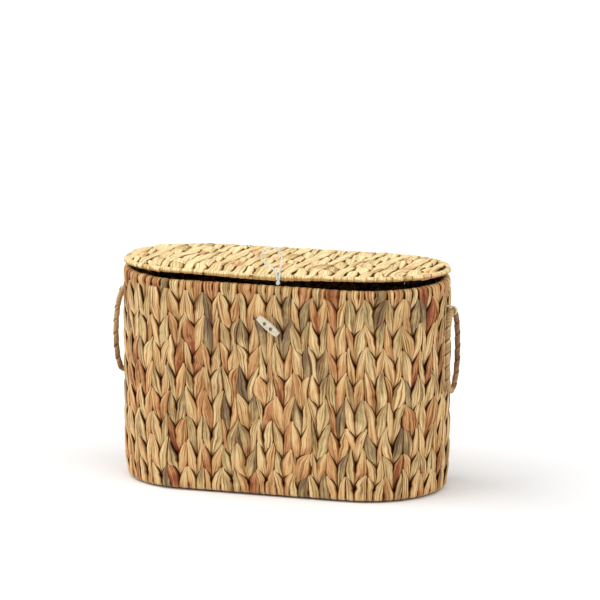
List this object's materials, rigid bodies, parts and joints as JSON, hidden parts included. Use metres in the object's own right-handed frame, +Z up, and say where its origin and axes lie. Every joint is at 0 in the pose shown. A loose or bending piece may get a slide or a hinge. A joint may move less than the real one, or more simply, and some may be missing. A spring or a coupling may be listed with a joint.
{
  "type": "lidded woven basket",
  "caption": "Round-ended lidded basket twined from flat leaf strands over a wire frame, with a hinged lid, elastic loop and toggle closure, and rope ring handles; it stores toilet rolls.",
  "frame": {"origin": "middle of the flat underside of the base, on the floor", "axes": "+X along the basket towards its right end as seen from the front, -Y towards the front, where the toggle is, +Z up"},
  "size_m": [0.3858, 0.1854, 0.272],
  "materials": {
    "woven_leaf": "dried flat leaf strands, matt with a slight sheen, straw to reddish brown",
    "hinge_leaf": "wrapped dried leaf",
    "frame_wire": "plain drawn wire, slightly dull",
    "handle_rope": "leaf-wrapped twisted rope",
    "pale_cord": "pale plant-fibre cord",
    "toggle_bone": "cream, satin, like bone or pale horn",
    "elastic_cord": "white round elastic cord"
  },
  "bodies": {
    "basket": {"woven_wall": "woven_leaf", "woven_base": "woven_leaf", "rim_wire": "frame_wire", "base_wire": "frame_wire", "hoop_wire_1": "frame_wire", "hoop_wire_2": "frame_wire", "hoop_wire_3": "frame_wire", "hoop_wire_4": "frame_wire", "hoop_wire_5": "frame_wire", "hoop_wire_6": "frame_wire", "hoop_wire_7": "frame_wire", "upright_wire_1": "frame_wire", "upright_wire_2": "frame_wire", "upright_wire_3": "frame_wire", "upright_wire_4": "frame_wire", "upright_wire_5": "frame_wire", "upright_wire_6": "frame_wire", "upright_wire_7": "frame_wire", "upright_wire_8": "frame_wire", "base_rib_1": "frame_wire", "base_rib_2": "frame_wire", "base_rib_3": "frame_wire", "base_rib_4": "frame_wire", "base_rib_5": "frame_wire", "handle_tie_left": "pale_cord", "handle_tie_right": "pale_cord"},
    "lid": {"woven_lid": "woven_leaf", "lid_wire": "frame_wire", "lid_rib_1": "frame_wire", "lid_rib_2": "frame_wire", "lid_rib_3": "frame_wire", "lid_rib_4": "frame_wire", "lid_rib_5": "frame_wire", "hinge_band_left": "hinge_leaf", "hinge_band_right": "hinge_leaf", "loop_knot": "elastic_cord"},
    "closure_loop": {"closure_loop": "elastic_cord"},
    "toggle": {"toggle_button": "toggle_bone", "toggle_tie": "pale_cord"},
    "handle_left": {"handle_ring_left": "handle_rope"},
    "handle_right": {"handle_ring_right": "handle_rope"}
  },
  "joints": [
    {"name": "lid_hinge", "type": "hinge", "parent": "basket", "child": "lid", "pos_m": [0, 0.083, 0.225], "axis": [-1, 0, 0], "range_deg": [0, 100]},
    {"name": "closure_loop_swing", "type": "hinge", "parent": "lid", "child": "closure_loop", "pos_m": [0.0205, -0.0913, 0.23398], "axis": [1, 0, 0], "range_deg": [0, 185]},
    {"name": "toggle_swivel", "type": "hinge", "parent": "basket", "child": "toggle", "pos_m": [0.0104, -0.0935, 0.1875], "axis": [0, 1, 0], "range_deg": [-90, 90]},
    {"name": "handle_left_swing", "type": "hinge", "parent": "basket", "child": "handle_left", "pos_m": [-0.186, 0, 0.1975], "axis": [0, 1, 0], "range_deg": [0, 150]},
    {"name": "handle_right_swing", "type": "hinge", "parent": "basket", "child": "handle_right", "pos_m": [0.186, 0, 0.1975], "axis": [0, -1, 0], "range_deg": [0, 150]}
  ]
}
